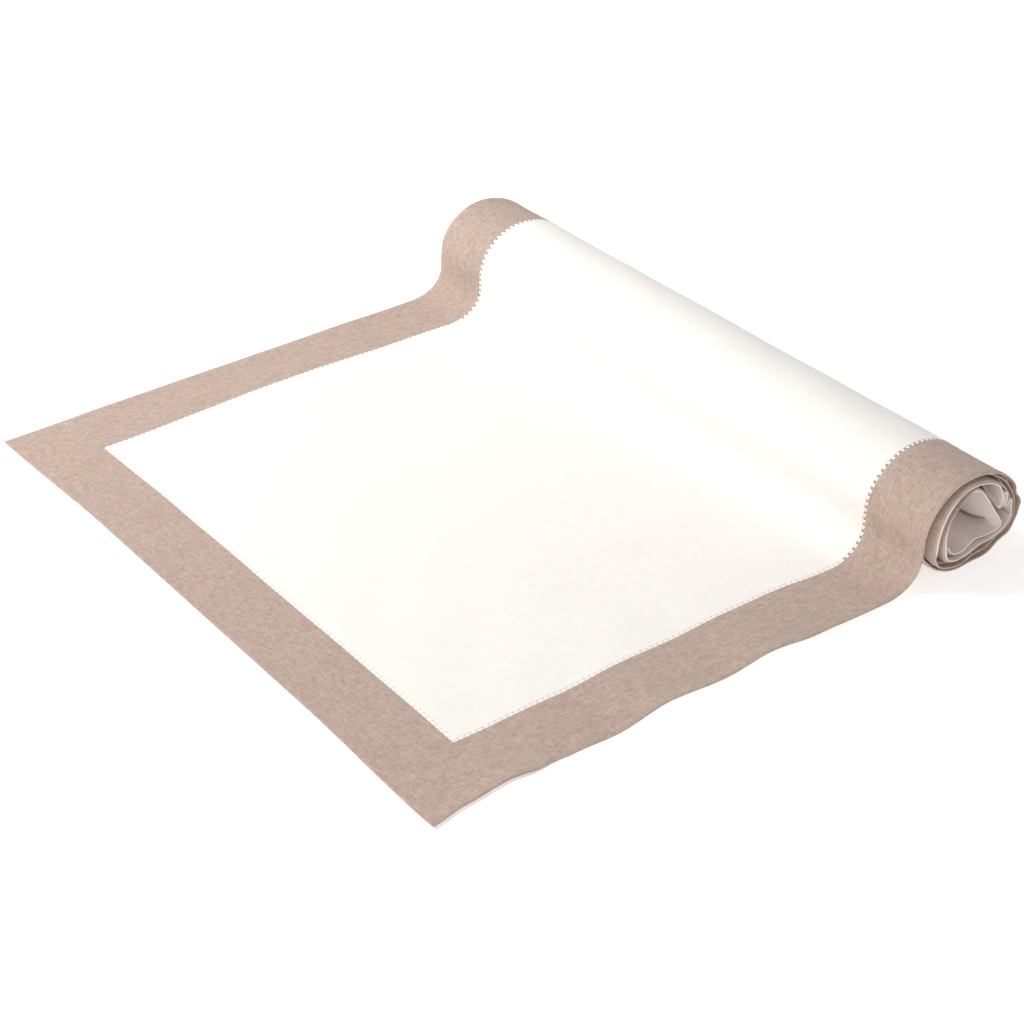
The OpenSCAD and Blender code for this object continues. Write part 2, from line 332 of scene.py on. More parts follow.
def onCloth(x, s, h, pleated=0.0):
    # the point at x across, s along, and h above the lining's underside
    x, s, h = np.broadcast_arrays(x, s, h)
    atEnd = ease(x, cloth["halfWidth"] - rest["endReach"],
                 cloth["halfWidth"] - rest["endSettled"])
    between = lambda middle, end: (np.interp(s, evenS, middle) * (1 - atEnd)
                                   + np.interp(s, evenS, end) * atEnd)
    ny, nz = between(normalY, endNormalY), between(normalZ, endNormalZ)
    size = np.hypot(ny, nz)
    ny, nz = ny / size, nz / size
    inRoll = ease(s, marks["sweep"], marks["top0"])
    flat = 1 - ease(s, flatLength - rest["flatFade"][0], flatLength + rest["flatFade"][1])
    uneven = swell(x, s) * rest["swell"]
    z = between(evenZ, endPathZ)
    loose = inRoll * ease(z, *rest["looseHeights"])
    out = (h - cloth["thick"] / 2) + uneven * loose * rest["rollSwell"]
    y = between(evenY, endPathY) + out * ny
    z = z + out * nz
    if np.any(pleated):
        share = np.clip((s - pleatStart) / (pleatEnd - pleatStart), 0, 1)
        given = [np.interp(share, pleatShare, part) for part in (*pleatLine.T, *pleatNormals.T)]
        y = y + pleated * (given[0] + cadLow.y + h * given[2] - y)
        z = z + pleated * (given[1] + h * given[3] - z)
    fromRight = cloth["halfWidth"] - x
    lift = easedThrough(s, rest["edgeLifts"])
    z = z + lift * np.exp(-np.maximum(fromRight, 0) / rest["edgeReach"]) * flat
    z = z + (uneven + rest["swell"]) * rest["flatSwell"] * flat * ease(s, 0, rest["swellFrom"])
    (acrossAt, alongAt), (acrossReach, alongReach) = rest["leftSwellAt"], rest["leftSwellReach"]
    z = z + rest["leftSwell"] * bump(s, alongAt, alongReach) * bump(x, acrossAt, acrossReach)
    hollow = rest["frontHollow"] * (1 - ease(np.abs(x), *rest["hollowSpan"]))
    y = y + hollow * np.exp(-s / rest["hollowDeep"])
    drift = rest["sweepShift"] * bump(s, rest["shiftAt"], rest["shiftReach"])
    drift = drift * ease(x, *rest["shiftSpan"])
    drift = drift * (1 - 0.5 * ease(x, *rest["shiftEased"]))
    leftward = 0.5 - x / cloth["halfWidth"] / 2
    rise = rest["rightRise"] + (rest["leftRise"] - rest["rightRise"]) * leftward
    z = np.maximum(z, 0) * (1 + rise * ease(s, flatLength, marks["near0"]))
    return np.stack([x + drift + creep(s), y, z], axis=-1)


rimSteps = np.array([0, 0.12, 0.45, 1, 2.5])  # in from a rounded edge, in half thicknesses


def rimmedLines(span, step, rim):
    # distances from one edge to the other, closer together over the rounded rims
    close = rimSteps * rim
    count = max(1, round((span - 2 * close[-1]) / step))
    middle = np.linspace(close[-1], span - close[-1], count + 1)[1:-1]
    return np.concatenate([close, middle, span - close[::-1]])


def alongLines(start, end, coarse, fine, rim):
    # lengths along the cloth, closer together where it bends more
    turnPerLine = 0.11  # radians
    close = rimSteps * rim
    spacing = np.clip(turnPerLine / np.maximum(bendiness, 1e-3), fine, coarse)
    lines = np.concatenate([[0], np.cumsum(np.diff(evenS) / spacing[1:])])
    first, last = np.interp([start + close[-1], end - close[-1]], evenS, lines)
    middle = np.interp(np.linspace(first, last, math.ceil(last - first) + 1), lines, evenS)[1:-1]
    return np.concatenate([start + close, middle, end - close[::-1]])


def clothShell(x, s, inset, low, high, puff=0.0, lift=0.0, pleated=0.0, swapThreads=False):
    # a closed thin shell over a grid of (x, s), rounded where inset is 0
    rim = (high - low) / 2
    depth = np.clip(inset / rim, 0, 1)
    swelling = rim * np.sqrt(1 - (1 - depth) ** 2)
    middle = (low + high) / 2 + lift
    upper = onCloth(x, s, middle + swelling + puff * (inset > 0), pleated)
    lower = onCloth(x, s, middle - swelling, pleated)
    rows, columns = x.shape
    upperIndex = np.arange(rows * columns).reshape(rows, columns)
    inside = np.zeros((rows, columns), bool)
    inside[1:-1, 1:-1] = True
    lowerIndex = upperIndex.copy()
    lowerIndex[inside] = rows * columns + np.arange(inside.sum())
    points = np.concatenate([upper.reshape(-1, 3), lower[inside]])
    threads = np.stack([s, x] if swapThreads else [x, s], axis=-1)
    threads = np.concatenate([threads.reshape(-1, 2), threads[inside]])

    def quads(index):
        corners = [index[:-1, :-1], index[:-1, 1:], index[1:, 1:], index[1:, :-1]]
        return np.stack([c.ravel() for c in corners], axis=1)

    faces = np.concatenate([quads(upperIndex), quads(lowerIndex)[:, ::-1]])
    return points, faces, threads


def addObject(name, data):
    added = bpy.data.objects.new(name, data)
    bpy.context.scene.collection.objects.link(added)
    return added


def makePiece(name, shells, material):
    points, faces, threads, offset = [], [], [], 0
    for shellPoints, shellFaces, shellThreads in shells:
        points.append(shellPoints)
        faces.append(shellFaces + offset)
        threads.append(shellThreads)
        offset += len(shellPoints)
    points, faces, threads = (np.concatenate(part) for part in (points, faces, threads))
    mesh = bpy.data.meshes.new(name)
    mesh.from_pydata(points.tolist(), [], faces.tolist())
    layer = mesh.uv_layers.new(name="threads")  # metres across and along, for the weave
    layer.data.foreach_set("uv", threads[faces.ravel()].astype(np.float32).ravel())
    mesh.polygons.foreach_set("use_smooth", np.ones(len(faces), bool))
    mesh.materials.append(material)
    mesh.update()
    return addObject(name, mesh)


def addNode(tree, kind, settings=(), inputs=()):
    node = tree.nodes.new(kind)
    for name, value in dict(settings).items():
        setattr(node, name, value)
    for key, value in dict(inputs).items():
        if isinstance(value, bpy.types.NodeSocket):
            tree.links.new(value, node.inputs[key])
        else:
            node.inputs[key].default_value = value
    return node


def maths(tree, operation, *values):
    return addNode(tree, "ShaderNodeMath", {"operation": operation},
                   dict(enumerate(values))).outputs[0]


def vectorMaths(tree, operation, *values):
    return addNode(tree, "ShaderNodeVectorMath", {"operation": operation},
                   dict(enumerate(values))).outputs[0]


def combined(tree, x=0.0, y=0.0, z=0.0):
    return addNode(tree, "ShaderNodeCombineXYZ", {}, {"X": x, "Y": y, "Z": z}).outputs[0]


def separated(tree, vector):
    return addNode(tree, "ShaderNodeSeparateXYZ", {}, {0: vector}).outputs


def mixed(tree, kind, share, first, second, blend="MIX"):
    # numbers and colours have their own sockets on this node
    at, result = (2, 0) if kind == "FLOAT" else (6, 2)
    return addNode(tree, "ShaderNodeMix", {"data_type": kind, "blend_type": blend},
                   {0: share, at: first, at + 1: second}).outputs[result]


def linear(hexColour):
    parts = [int(hexColour[i:i + 2], 16) / 255 for i in (1, 3, 5)]
    return [p / 12.92 if p <= 0.04045 else ((p + 0.055) / 1.055) ** 2.4 for p in parts] + [1.0]


def clearMaterial(name):
    material = bpy.data.materials.new(name)
    material.use_nodes = True
    material.node_tree.nodes.clear()
    return material, material.node_tree


weave = {
    "wanderOver": 9 * mm,  # threads stray from straight over this distance
    "apart": 5.3,  # from one thread to the next in the noise, so that each has its own slubs
    "alongPlace": 3.0,  # where in the noise each set of threads lies
    "acrossPlace": 40.0,
    "slubScale": 0.83,
    "slubHigh": 0.8,  # how much a thick place stands up
    "relief": 0.16,  # of the distance between threads
}


def wovenCloth(name, look):
    # plain weave: threads go over and under in turn, and each thread is uneven along its length;
    # its colour is darkened where it dips under, painted shade
    material, tree = clearMaterial(name)
    threads = addNode(tree, "ShaderNodeUVMap", {"uv_map": "threads"}).outputs["UV"]
    wander = addNode(tree, "ShaderNodeTexNoise", {"noise_dimensions": "2D"},
                     {"Vector": threads, "Scale": 1 / weave["wanderOver"], "Detail": 1.0})
    offCentre = vectorMaths(tree, "SUBTRACT", wander.outputs["Color"], (0.5, 0.5, 0.5))
    wandered = vectorMaths(tree, "MULTIPLY_ADD", offCentre, (look["wander"],) * 3, threads)
    counted = vectorMaths(tree, "MULTIPLY", wandered, (1 / look["pitch"], 1 / look["pitch"], 0))
    number = separated(tree, vectorMaths(tree, "FLOOR", counted))
    within = vectorMaths(tree, "FRACTION", counted)
    centred = vectorMaths(tree, "MULTIPLY_ADD", within, (2, 2, 0), (-1, -1, 0))
    crown = separated(tree, vectorMaths(tree, "MULTIPLY", centred, centred))
    over = maths(tree, "FLOORED_MODULO", maths(tree, "ADD", number["X"], number["Y"]), 2.0)
    rounded = mixed(tree, "FLOAT", over, crown["Y"], crown["X"])
    place = separated(tree, threads)
    alongPlace = combined(tree, maths(tree, "MULTIPLY", number["X"], weave["apart"]),
                          maths(tree, "MULTIPLY", place["Y"], 1 / look["slub"]),
                          weave["alongPlace"])
    acrossPlace = combined(tree, maths(tree, "MULTIPLY", place["X"], 1 / look["slub"]),
                           maths(tree, "MULTIPLY", number["Y"], weave["apart"]),
                           weave["acrossPlace"])
    alongSlub, acrossSlub = (
        addNode(tree, "ShaderNodeTexNoise", {},
                {"Vector": at, "Scale": weave["slubScale"], "Detail": 1.0}).outputs[0]
        for at in (alongPlace, acrossPlace))
    slub = mixed(tree, "FLOAT", look["alongShare"], acrossSlub, alongSlub)
    cloud = addNode(tree, "ShaderNodeTexNoise", {"noise_dimensions": "2D"},
                    {"Vector": threads, "Scale": 1 / look["cloud"], "Detail": 2.0})
    tone = maths(tree, "MULTIPLY_ADD", slub, look["slubTone"], 0.5 - look["slubTone"] / 2)
    # painted shade: each thread's colour darkens towards its sides, where it dips under the
    # crossing thread
    weavePaintedShade = maths(tree, "MULTIPLY_ADD", rounded, -look["weavePaintedShade"], tone)
    yarn = mixed(tree, "RGBA", weavePaintedShade, linear(look["dark"]), linear(look["light"]))
    tint = mixed(tree, "RGBA", cloud.outputs[0], linear(look["warmTint"]),
                 linear(look["coolTint"]))
    colour = mixed(tree, "RGBA", 1.0, yarn, tint, "MULTIPLY")
    relief = maths(tree, "MULTIPLY_ADD", slub, weave["slubHigh"], 1.0)
    bumped = addNode(tree, "ShaderNodeBump", {},
                     {"Height": maths(tree, "SUBTRACT", relief, rounded),
                      "Strength": look["bump"], "Distance": weave["relief"] * look["pitch"]})
    shader = addNode(tree, "ShaderNodeBsdfPrincipled", {},
                     {"Base Color": colour, "Normal": bumped.outputs[0],
                      "Roughness": look["roughness"], "Specular IOR Level": 0.25,
                      "Sheen Weight": look["sheen"], "Sheen Roughness": 0.5})
    addNode(tree, "ShaderNodeOutputMaterial", {}, {"Surface": shader.outputs[0]})
    return material


def sewingThread(name, look):
    # twisted cotton: a soft gloss, with fine fibre shade
    material, tree = clearMaterial(name)
    place = addNode(tree, "ShaderNodeTexCoord").outputs["Object"]
    fibre = addNode(tree, "ShaderNodeTexNoise", {},
                    {"Vector": place, "Scale": 1 / (0.6 * mm), "Detail": 2.0})
    colour = mixed(tree, "RGBA", fibre.outputs[0], linear(look["dark"]), linear(look["light"]))
    bumped = addNode(tree, "ShaderNodeBump", {},
                     {"Height": fibre.outputs[0], "Strength": 0.5, "Distance": 0.05 * mm})
    shader = addNode(tree, "ShaderNodeBsdfPrincipled", {},
                     {"Base Color": colour, "Normal": bumped.outputs[0],
                      "Roughness": look["roughness"], "Sheen Weight": 0.1})
    addNode(tree, "ShaderNodeOutputMaterial", {}, {"Surface": shader.outputs[0]})
    return material


# Natural oatmeal linen: thick and thin threads in grey beige, drawn 0.8 mm apart so that they
# show. Such linen is likely a little finer.
oatmealLinen = wovenCloth("oatmealLinen", {
    "pitch": 0.8 * mm, "slub": 3.4 * mm, "cloud": 9 * mm, "wander": 0.25 * mm,
    "dark": "#A48F83", "light": "#D9C6BE", "warmTint": "#FFF3F1", "coolTint": "#F3F7EE",
    "slubTone": 1.4, "weavePaintedShade": 0.16, "alongShare": 0.55, "bump": 0.8, "roughness": 0.9,
    "sheen": 0.1,
})
# Bleached linen: the same weave, nearly white, so that its threads show mostly as relief, with
# faint painted shade where they dip.
whiteLinen = wovenCloth("whiteLinen", {
    "pitch": 0.7 * mm, "slub": 6 * mm, "cloud": 12 * mm, "wander": 0.4 * mm,
    "dark": "#EEEBE7", "light": "#FAF7F4", "warmTint": "#FFFDFB", "coolTint": "#FFFEFC",
    "slubTone": 1.0, "weavePaintedShade": 0.12, "alongShare": 0.5, "bump": 0.5, "roughness": 0.85,
    "sheen": 0.1,
})
# Cotton lining: fine and even, off-white.
cottonLining = wovenCloth("cottonLining", {
    "pitch": 0.6 * mm, "slub": 8 * mm, "cloud": 15 * mm, "wander": 0.2 * mm,
    "dark": "#DDD1CB", "light": "#EFE5E0", "warmTint": "#FFFCFA", "coolTint": "#FDFCFB",
    "slubTone": 0.8, "weavePaintedShade": 0.12, "alongShare": 0.5, "bump": 0.4, "roughness": 0.85,
    "sheen": 0.1,
})
whiteThread = sewingThread("mercerisedWhiteThread", {
    "dark": "#E9E3DA", "light": "#F8F4EE", "roughness": 0.6})
oatmealThread = sewingThread("oatmealSewingThread", {
    "dark": "#B09C8E", "light": "#C8B6A8", "roughness": 0.65})
print("materials made")

half, length, border = cloth["halfWidth"], cloth["length"], cloth["border"]
faceLow, faceHigh = cloth["liningThick"] + cloth["layerGap"], cloth["thick"]
faceRim = cloth["face"] / 2

panel = {
    "across": 5 * mm, "along": 3.2 * mm, "fine": 0.9 * mm,
    "allowance": 0.76 * mm,  # the panel's own cloth under the open-work seam, on the flat part
    "clear": 0.05 * mm,  # between the allowances of two sides
}
seamOuter, seamInner = border - 0.1 * mm, cloth["panelIn"] + 0.3 * mm
# from here on the roll, the open-work holes show the border's beige cloth as painted shade; before
# it, the panel's white cloth
paintedShadeHolesStart = marks["flat"] + 8 * mm


def seamAllowance(xLow, xHigh, sLow, sHigh, thick):
    # the cloth left under the open-work seam, which its holes show
    rim = thick / 2
    across = xLow + rimmedLines(xHigh - xLow, 3 * mm, min(rim, (xHigh - xLow) / 6))
    along = alongLines(sLow, sHigh, 3 * mm, panel["fine"], min(rim, (sHigh - sLow) / 6))
    x, s = np.meshgrid(across, along)
    edge = np.minimum.reduce([x - xLow, xHigh - x, s - sLow, sHigh - s])
    return clothShell(x, s, edge, faceLow, faceLow + thick)


def centrePanel():
    inset = cloth["panelIn"]
    across = rimmedLines(2 * (half - inset), panel["across"], faceRim)
    along = alongLines(inset, length - inset, panel["along"], panel["fine"], faceRim)
    x, s = np.meshgrid(across - (half - inset), along)
    edge = np.minimum.reduce([half - inset - np.abs(x), s - inset, length - inset - s])
    shells = [clothShell(x, s, edge, faceLow, faceHigh)]
    for way in (-1, 1):
        reach = sorted((way * (half - seamOuter), way * (half - seamInner)))
        shells.append(seamAllowance(*reach, seamInner + panel["clear"], paintedShadeHolesStart,
                                    panel["allowance"]))
    shells.append(seamAllowance(seamOuter - half, half - seamOuter, seamOuter, seamInner,
                                panel["allowance"]))
    return makePiece("centre_panel_cloth", shells, whiteLinen)


borders = {
    "across": 2.6 * mm, "along": 3.2 * mm, "fine": 0.9 * mm, "mitreBlend": 110 * mm,
    "mitreRounding": 0.7,  # 1 leaves the mitred edges square, 0 rounds them fully
    "allowance": 0.45 * mm,  # the border's own beige cloth under the open-work seam, laid on the roll only: painted shade that makes the holes darker there
}


def hemPuff(x, s):
    fromEdge = np.minimum.reduce([half - np.abs(x), s, length - s])
    return cloth["hemPuff"] * bump(fromEdge, cloth["hemWide"] / 2, cloth["hemWide"] / 2)


def sideBorder(name, way):
    # a folded strip with a mitre at each end; way is -1 at the left and 1 at the right
    fromOuter = rimmedLines(border, borders["across"], faceRim)
    fromOuter = fromOuter[::-1] if way > 0 else fromOuter
    along = alongLines(0, length, borders["along"], borders["fine"], faceRim)
    outer, base = np.meshgrid(fromOuter, along)
    start = outer + cloth["mitreGap"] * math.sqrt(2)
    blend = borders["mitreBlend"]
    fromStart, fromEnd = base, length - base
    s = (base + start * np.maximum(0, 1 - fromStart / blend)
         - start * np.maximum(0, 1 - fromEnd / blend))
    square = borders["mitreRounding"] * faceRim
    edge = np.minimum.reduce([outer, border - outer, (s - start) / math.sqrt(2) + square,
                              (length - start - s) / math.sqrt(2) + square])
    x = way * (half - outer)
    reach = sorted((way * (half - seamOuter), way * (half - seamInner)))
    # on the roll the border's beige cloth lies under the open-work holes, painted shade that
    # darkens them there
    shells = [clothShell(x, s, edge, faceLow, faceHigh, hemPuff(x, s)),
              seamAllowance(*reach, paintedShadeHolesStart, length - seamInner - panel["clear"],
                            borders["allowance"])]
    return makePiece(name, shells, oatmealLinen)


def endBorder(name, back):
    # the strip across one end, with a mitre at each side
    fromOuter = rimmedLines(border, borders["across"], faceRim)
    share = rimmedLines(2 * half, borders["along"], faceRim) / half - 1
    share, outer = np.meshgrid(share, fromOuter[::-1] if back else fromOuter)
    reach = half - outer - cloth["mitreGap"] * math.sqrt(2)
    x = share * reach
    s = length - outer if back else outer
    square = borders["mitreRounding"] * faceRim
    edge = np.minimum.reduce([outer, border - outer, (reach - np.abs(x)) / math.sqrt(2) + square])
    shells = [clothShell(x, s, edge, faceLow, faceHigh, hemPuff(x, s), swapThreads=True)]
    # the back end lies in the roll, so the border's beige cloth goes under its open-work holes too,
    # as painted shade
    if back:
        reach = (length - seamInner, length - seamOuter)
        shells.append(seamAllowance(seamOuter - half, half - seamOuter, *reach,
                                    borders["allowance"]))
    return makePiece(name, shells, oatmealLinen)


lining = {
    "across": 6 * mm, "along": 3.4 * mm, "fine": 0.9 * mm,
    "showing": 1.9 * mm,  # how far it shows past the border in places
    "hidden": 0.7 * mm,  # how far in it stays elsewhere
    "hiddenRolled": 4.5 * mm,  # and inside the outer turns, where the turned hem shows
    "pleatReach": 22 * mm,  # how deep into the roll the loose pleats run
    "creaseAt": 23 * mm,  # on the loose end, from the top of its last turn
    "creaseHigh": 6.2 * mm,
    "creaseWide": 1.2 * mm,  # it drops back within this
    "creaseFine": 0.25 * mm,
    "creaseSpan": (-4 * mm, 17 * mm),  # it rises over this from the right edge
    "creaseFades": (45 * mm, 75 * mm),
    "endInset": 0.3 * mm,  # short of the border at the front and the back
    "endReach": 76 * mm,  # a finer grid this far in from the right edge
    "endStep": 2 * mm,
    "frontShown": (50 * mm, 75 * mm),  # it shows from the front edge up to here
    "edgeLift": 0.3 * mm,  # where it shows
}


def liningCloth():
    thick = cloth["liningThick"]
    across = rimmedLines(2 * half, lining["across"], thick / 2) - half
    across = np.union1d(across, np.arange(half - lining["endReach"], half - lining["endStep"],
                                       lining["endStep"]))
    along = alongLines(lining["endInset"], length - lining["endInset"], lining["along"],
                       lining["fine"], thick / 2)
    along = np.union1d(along, np.linspace(pleatStart, pleatEnd, 100))
    crease = marks["top3"] + lining["creaseAt"]
    along = np.union1d(along, np.arange(crease - 2 * mm, crease + 3 * mm,
                                     lining["creaseFine"]))
    x, s = np.meshgrid(across, along)
    edge = np.minimum.reduce([half - np.abs(x), s - along[0], along[-1] - s])
    shows = 1 - ease(s, *lining["frontShown"])
    shows = shows + 0.7 * ease(s, marks["near2"] - 10 * mm, marks["near2"])
    shows = shows - 0.8 * bump(s, (marks["near3"] + marks["top3"]) / 2, 22 * mm)
    inner = ease(s, marks["sweep"], marks["near0"]) * (1 - ease(s, marks["near2"] - 18 * mm,
                                                                marks["near2"] - 8 * mm))
    hidden = lining["hidden"] + (lining["hiddenRolled"] - lining["hidden"]) * inner
    past = np.where(x > 0, -hidden + (lining["showing"] + hidden) * shows, -lining["hidden"])
    x = x + np.sign(x) * past * (np.abs(x) / half) ** 6
    fromEnd = half - x
    pleated = ease(fromEnd, lining["pleatReach"], 1 * mm) * (s > pleatStart) * (s < pleatEnd)
    overhang = ease(s, marks["top3"], crease) * (
        1 - ease(s, crease, crease + lining["creaseWide"]))
    deep = ease(fromEnd, *lining["creaseSpan"]) * (1 - ease(fromEnd, *lining["creaseFades"]))
    lift = -lining["creaseHigh"] * overhang * deep * ease(fromEnd, 0, 3 * mm)
    atEdge = (fromEnd < lining["edgeLift"]) * (s < lining["frontShown"][1])
    lift = lift + lining["edgeLift"] * atEdge
    shell = clothShell(x, s, edge, 0.0, thick, lift=lift, pleated=pleated)
    return makePiece("lining_cloth", [shell], cottonLining)


pieces = {"centre_panel": centrePanel(), "lining": liningCloth(),
          "border_left": sideBorder("border_left_cloth", -1),
          "border_right": sideBorder("border_right_cloth", 1),
          "border_front": endBorder("border_front_cloth", False),
          "border_back": endBorder("border_back_cloth", True)}
print("cloth pieces made")

stitching = {
    "barPitch": 3.5 * mm, "barLong": 2.1 * mm, "threadWide": 0.7 * mm,
    "edgePitch": 6 * mm, "mitrePitch": 4 * mm, "seamLong": 2.2 * mm, "seamWide": 0.24 * mm,
    "seed": 4,
    # each thread of a stitch: its length and its width, each a share of an input, its place
    # across the band, and its slant
    "rails": [(("Pitch", 1.06), ("Thread width", 0.4), 0.44, 0.06),
              (("Pitch", 1.06), ("Thread width", 1.6), -0.42, -0.08)],
    "plain": [(("Stitch length", 1.0), ("Thread width", 1.0), 0.0, 0.0)],
    "railSpread": 1.3,
    "barSpan": 1.15,  # of the band
    "barFlare": 2.2,  # how much wider the bar is at its ends
    "wobble": (0.03, 0.03, 0.07),  # radians either way
    "fullness": ((0.96, 0.96, 0.85), (1.04, 1.04, 1.1)),
}


def seamLine(name, x, s, h):
    # an open line over the cloth, which carries the cloth's own normal
    steps = 400
    t = np.linspace(0, 1, steps)
    x, s = np.interp(t, [0, 1], x), np.interp(t, [0, 1], s)
    points = onCloth(x, s, h)
    tiny = 0.2 * mm
    alongX = onCloth(x + tiny, s, h) - onCloth(x - tiny, s, h)
    alongS = onCloth(x, s + tiny, h) - onCloth(x, s - tiny, h)
    normals = np.cross(alongX, alongS)
    normals /= np.linalg.norm(normals, axis=1)[:, None]
    mesh = bpy.data.meshes.new(name)
    mesh.from_pydata(points.tolist(), [(i, i + 1) for i in range(steps - 1)], [])
    attribute = mesh.attributes.new("clothNormal", "FLOAT_VECTOR", "POINT")
    attribute.data.foreach_set("vector", normals.astype(np.float32).ravel())
    return addObject(name, mesh)


def stitchTree(name, openWork):
    # repeats one stitch along a line; an open-work stitch has two rails and a bar between them
    tree = bpy.data.node_groups.new(name, "GeometryNodeTree")
    sockets = {}
    for label, kind in [("Seam line", "NodeSocketGeometry"), ("Pitch", "NodeSocketFloat"),
                        ("Stitch length", "NodeSocketFloat"), ("Thread width", "NodeSocketFloat"),
                        ("Band width", "NodeSocketFloat"), ("Turn", "NodeSocketFloat"),
                        ("Seed", "NodeSocketInt"), ("Thread", "NodeSocketMaterial")]:
        sockets[label] = tree.interface.new_socket(label, in_out="INPUT", socket_type=kind)
    tree.interface.new_socket("Stitches", in_out="OUTPUT", socket_type="NodeSocketGeometry")
    given = addNode(tree, "NodeGroupInput").outputs
    curve = addNode(tree, "GeometryNodeMeshToCurve", {}, {"Mesh": given["Seam line"]})
    spaced = addNode(tree, "GeometryNodeResampleCurve", {"mode": "LENGTH"},
                     {"Curve": curve.outputs[0], "Length": given["Pitch"]})
    up = addNode(tree, "GeometryNodeInputNamedAttribute", {"data_type": "FLOAT_VECTOR"},
                 {"Name": "clothNormal"})
    heading = addNode(tree, "GeometryNodeInputTangent")
    upright = addNode(tree, "FunctionNodeAlignRotationToVector", {"axis": "Z"},
                      {"Vector": up.outputs[0]})
    turned = addNode(tree, "FunctionNodeAlignRotationToVector", {"axis": "X", "pivot_axis": "Z"},
                     {"Rotation": upright.outputs[0], "Vector": heading.outputs[0]})
    grain = addNode(tree, "GeometryNodeMeshUVSphere", {},
                    {"Segments": 7, "Rings": 5, "Radius": 0.5})
    parts = []
    for long, wide, side, slant in stitching["rails" if openWork else "plain"]:
        threadLong = maths(tree, "MULTIPLY", given[long[0]], long[1])
        threadWide = maths(tree, "MULTIPLY", given[wide[0]], wide[1])
        across = maths(tree, "MULTIPLY", given["Band width"], side * stitching["railSpread"])
        angle = maths(tree, "ADD", given["Turn"], slant)
        parts.append(addNode(tree, "GeometryNodeTransform", {},
                             {"Geometry": grain.outputs[0], "Translation": combined(tree, y=across),
                              "Rotation": combined(tree, z=angle),
                              "Scale": combined(tree, threadLong, threadWide, threadWide)
                              }).outputs[0])
    if openWork:
        # the bar across the gap is drawn in at its middle, so the holes between bars are round
        barSpan = maths(tree, "MULTIPLY", given["Band width"], stitching["barSpan"])
        bar = addNode(tree, "GeometryNodeMeshCylinder", {},
                      {"Vertices": 8, "Side Segments": 4, "Radius": 0.5, "Depth": 1.0})
        axes = separated(tree, addNode(tree, "GeometryNodeInputPosition").outputs[0])
        squared = maths(tree, "MULTIPLY", axes["Z"], axes["Z"])
        flare = maths(tree, "MULTIPLY_ADD", squared, stitching["barFlare"], 1.0)
        shaped = combined(tree, maths(tree, "MULTIPLY", axes["X"], flare), axes["Z"], axes["Y"])
        waist = addNode(tree, "GeometryNodeSetPosition", {},
                        {"Geometry": bar.outputs[0], "Position": shaped})
        flipped = addNode(tree, "GeometryNodeFlipFaces", {}, {"Mesh": waist.outputs[0]})
        size = combined(tree, given["Stitch length"], barSpan, given["Thread width"])
        parts.append(addNode(tree, "GeometryNodeTransform", {},
                             {"Geometry": flipped.outputs[0], "Scale": size}).outputs[0])
    joined = addNode(tree, "GeometryNodeJoinGeometry")
    for part in parts:
        tree.links.new(part, joined.inputs[0])
    wobble = addNode(tree, "FunctionNodeRandomValue", {"data_type": "FLOAT_VECTOR"},
                     {"Min": tuple(-angle for angle in stitching["wobble"]),
                      "Max": stitching["wobble"], "Seed": given["Seed"]})
    wobbled = addNode(tree, "FunctionNodeRotateRotation", {"rotation_space": "LOCAL"},
                      {"Rotation": turned.outputs[0], "Rotate By": wobble.outputs[0]})
    fullness = addNode(tree, "FunctionNodeRandomValue", {"data_type": "FLOAT_VECTOR"},
                       {"Min": stitching["fullness"][0], "Max": stitching["fullness"][1],
                        "Seed": given["Seed"]})
    placed = addNode(tree, "GeometryNodeInstanceOnPoints", {},
                     {"Points": spaced.outputs[0], "Instance": joined.outputs[0],
                      "Rotation": wobbled.outputs[0], "Scale": fullness.outputs[0]})
    real = addNode(tree, "GeometryNodeRealizeInstances", {}, {"Geometry": placed.outputs[0]})
    smooth = addNode(tree, "GeometryNodeSetShadeSmooth", {}, {"Geometry": real.outputs[0]})
    dyed = addNode(tree, "GeometryNodeSetMaterial", {},
                   {"Geometry": smooth.outputs[0], "Material": given["Thread"]})
    addNode(tree, "NodeGroupOutput", {}, {0: dyed.outputs[0]})
    return tree, sockets


openTree = stitchTree("hemstitchRow", True)
plainTree = stitchTree("seamRow", False)


def sewRow(name, line, treeAndSockets, values):
    tree, sockets = treeAndSockets
    modifier = line.modifiers.new("stitches", "NODES")
    modifier.node_group = tree
    for label, value in values.items():
        modifier[sockets[label].identifier] = value
    evaluated = line.evaluated_get(bpy.context.evaluated_depsgraph_get())
    mesh = bpy.data.meshes.new_from_object(evaluated)
    bpy.data.objects.remove(line)
    mesh.name = name
    return addObject(name, mesh)


def hemstitchRow(side):
    # runs so that the outer edge of the runner is on the stitch's own +Y side
    gap = cloth["border"] + cloth["band"] / 2
    end = cloth["panelIn"] + stitching["barPitch"] / 4
    x, s = {"right": ((half - gap,) * 2, (length - end, end)),
            "left": ((gap - half,) * 2, (end, length - end)),
            "front": ((half - end, end - half), (gap, gap)),
            "back": ((end - half, half - end), (length - gap,) * 2)}[side]
    line = seamLine("hemstitchLine", x, s, cloth["thick"] - 0.25 * mm)
    return sewRow(f"hemstitch_{side}_thread", line, openTree, {
        "Pitch": stitching["barPitch"], "Stitch length": stitching["barLong"],
        "Thread width": stitching["threadWide"], "Band width": cloth["band"], "Turn": 0.0,
        "Seed": stitching["seed"], "Thread": whiteThread})


def seamRow(name, x, s, h, pitch, turn, thread):
    line = seamLine("seamLine", x, s, h)
    return sewRow(name, line, plainTree, {
        "Pitch": pitch, "Stitch length": stitching["seamLong"],
        "Thread width": stitching["seamWide"], "Band width": 0.0, "Turn": turn,
        "Seed": stitching["seed"], "Thread": thread})


